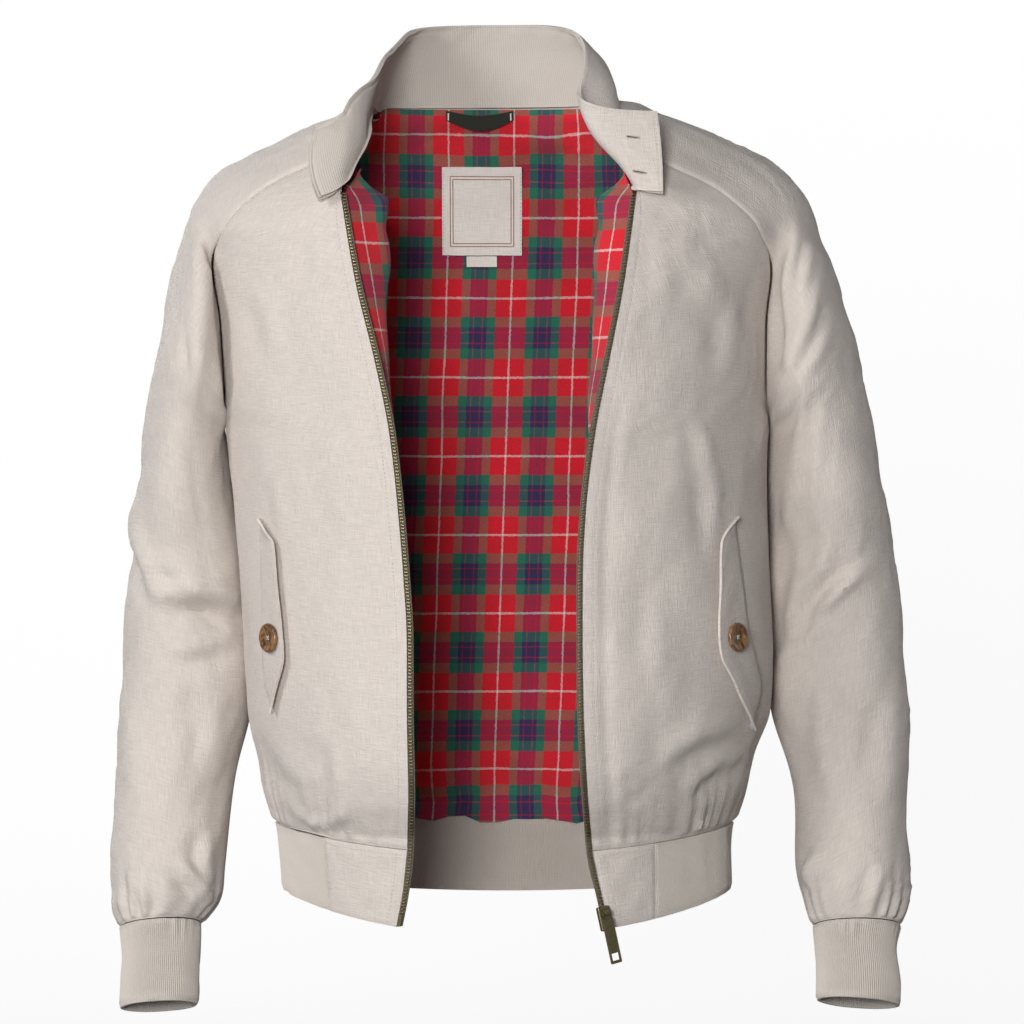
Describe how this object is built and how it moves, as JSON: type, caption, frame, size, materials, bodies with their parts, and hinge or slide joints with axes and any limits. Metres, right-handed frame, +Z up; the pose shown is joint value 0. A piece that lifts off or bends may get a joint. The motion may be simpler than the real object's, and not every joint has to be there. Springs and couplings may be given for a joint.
{
  "type": "harrington jacket",
  "caption": "Short zipped raglan jacket worn open, with a turned-out stand collar, ribbed cuffs and waistband, buttoned slanted pocket flaps and a tartan lining.",
  "frame": {"origin": "between the shoulders, on the line that runs through both of them, where the wearer carries the jacket", "axes": "+Z up, +X towards the wearer's left sleeve, the open front faces -Y"},
  "size_m": [0.6488, 0.3565, 0.8066],
  "materials": {
    "shell": "tightly woven pale stone cotton, matt",
    "rib": "fine rib knit in the shell's colour",
    "lining": "brushed tartan flannel, red ground with green and navy bands and white lines",
    "brass": "antique brass, dull",
    "horn": "mottled brown horn, polished",
    "tape": "dark woven tape",
    "label": "cream woven label"
  },
  "bodies": {
    "jacket": {"back": "shell", "collar_button_low": "horn", "collar_button_top": "horn", "collar_facing": "shell", "collar_inner": "rib", "collar_outer": "shell", "cuff_left": "rib", "cuff_right": "rib", "front_left": "shell", "front_right": "shell", "hanger_loop": "tape", "hem_end_left": "shell", "hem_end_right": "shell", "hem_rib": "rib", "label": "label", "lining_back": "lining", "lining_front_left": "lining", "lining_front_right": "lining", "lining_sleeve_left": "lining", "lining_sleeve_right": "lining", "pocket_button_left": "horn", "pocket_button_right": "horn", "pocket_flap_left": "shell", "pocket_flap_right": "shell", "size_tag": "label", "sleeve_left": "shell", "sleeve_right": "shell", "zip_box": "brass", "zip_chain_left": "brass", "zip_chain_right": "brass", "zip_pin": "brass", "zip_slider": "brass", "zip_tape_left": "tape", "zip_tape_right": "tape"},
    "pull": {"zip_pull": "brass"}
  },
  "joints": [
    {"name": "pull_swing", "type": "hinge", "parent": "jacket", "child": "pull", "pos_m": [0.07305, -0.14874, -0.64127], "axis": [-0.9076, -0.3545, -0.225], "range_deg": [-5, 150]}
  ]
}
